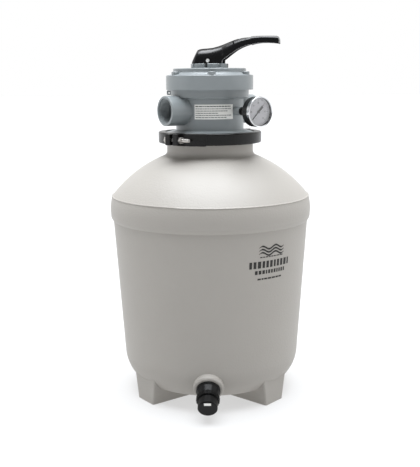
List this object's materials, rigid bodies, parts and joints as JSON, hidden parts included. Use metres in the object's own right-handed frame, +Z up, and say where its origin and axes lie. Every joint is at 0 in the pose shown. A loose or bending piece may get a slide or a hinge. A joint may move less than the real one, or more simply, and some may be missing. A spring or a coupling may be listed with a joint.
{
  "type": "sand filter tank",
  "caption": "Moulded sand filter tank on feet with a clamped multiport valve on top, lever handle, pressure gauge, threaded ports and a capped drain.",
  "frame": {"origin": "on the tank's axis, at the floor the feet stand on", "axes": "+Z up; -Y to the front, where the drain is; +X to the right seen from the front"},
  "size_m": [0.4, 0.4275, 0.7104],
  "materials": {
    "tank_plastic": "moulded polyethylene, light warm grey, fine texture",
    "clamp_plastic": "moulded nylon, black",
    "valve_plastic": "moulded ABS, blue grey, satin",
    "handle_plastic": "moulded nylon, glossy black",
    "drain_plastic": "moulded nylon, black",
    "stainless": "stainless steel",
    "pipe_plastic": "white PVC pipe",
    "lateral_plastic": "moulded polypropylene, off-white",
    "rubber": "black nitrile rubber",
    "label_paper": "white printed vinyl label",
    "gauge_black": "black painted steel case",
    "gauge_bright": "polished bezel",
    "gauge_white": "white enamelled dial",
    "gauge_glass": "clear polycarbonate lens",
    "pointer_black": "black pointer",
    "brass": "turned brass"
  },
  "bodies": {
    "filter": {"tank_shell": "tank_plastic", "clamp_half_front": "clamp_plastic", "clamp_half_rear": "clamp_plastic", "neck_oring": "rubber", "standpipe": "pipe_plastic", "standpipe_seal": "rubber", "lateral_hub": "lateral_plastic", "upper_diffuser": "lateral_plastic", "valve_body": "valve_plastic", "valve_lid": "valve_plastic", "lid_screws": "stainless", "lid_oring": "rubber", "spider_gasket": "rubber", "valve_label": "label_paper", "clamp_bolts": "stainless", "clamp_nuts": "stainless", "gauge_case": "gauge_black", "gauge_bezel": "gauge_bright", "gauge_dial": "gauge_white", "gauge_dial_ring": "gauge_black", "gauge_lens": "gauge_glass", "gauge_stem": "gauge_black", "gauge_bourdon_tube": "brass", "gauge_movement_frame": "brass", "gauge_stem_seal": "rubber", "drain_tube": "drain_plastic", "drain_gasket": "rubber", "drain_nut": "drain_plastic", "drain_screen": "lateral_plastic", "lateral_1": "lateral_plastic", "lateral_2": "lateral_plastic", "lateral_3": "lateral_plastic", "lateral_4": "lateral_plastic", "lateral_5": "lateral_plastic", "lateral_6": "lateral_plastic", "lateral_7": "lateral_plastic", "lateral_8": "lateral_plastic"},
    "rotor_carrier": {"thrust_washer": "pipe_plastic", "rotor_spring": "stainless"},
    "diverter": {"diverter_rotor": "valve_plastic", "rotor_stem_orings": "rubber", "handle_pin": "stainless"},
    "lever": {"handle": "handle_plastic"},
    "needle": {"gauge_pointer": "pointer_black", "gauge_spindle": "pointer_black"},
    "drain_cap_gasket_body": {"drain_cap_gasket": "rubber"},
    "drain_cap_body": {"drain_cap": "drain_plastic", "drain_cap_label": "label_paper"}
  },
  "joints": [
    {"name": "rotor_lift", "type": "slide", "parent": "filter", "child": "rotor_carrier", "axis": [0, 0, 1], "range_m": [0, 0.004], "stiffness_N_per_m": 3000, "springref_m": -0.006, "deforming": ["rotor_spring"]},
    {"name": "valve_turn", "type": "hinge", "parent": "rotor_carrier", "child": "diverter", "pos_m": [0, 0, 0.6], "axis": [0, 0, 1], "continuous": true},
    {"name": "handle_tilt", "type": "hinge", "parent": "diverter", "child": "lever", "pos_m": [0, 0, 0.6627], "axis": [0.1736, 0.9848, 0], "range_deg": [0, 8]},
    {"name": "gauge_needle", "type": "hinge", "parent": "filter", "child": "needle", "pos_m": [0.08434, -0.08528, 0.567], "axis": [-0.6088, 0.7934, 0], "range_deg": [0, 270], "stiffness_Nm_per_rad": 0.0002},
    {"name": "drain_cap_slide", "type": "slide", "parent": "filter", "child": "drain_cap_gasket_body", "axis": [0, -0.9135, -0.4067], "range_m": [0, 0.011]},
    {"name": "drain_cap_turn", "type": "hinge", "parent": "drain_cap_gasket_body", "child": "drain_cap_body", "pos_m": [0, -0.1765, 0.052], "axis": [0, -0.9135, -0.4067], "range_deg": [0, 1800]}
  ],
  "couplings": [
    {"joint": "handle_tilt", "follows": "rotor_lift", "rad_per_m": 34.872},
    {"joint": "drain_cap_turn", "follows": "drain_cap_slide", "rad_per_m": 2844.4}
  ]
}
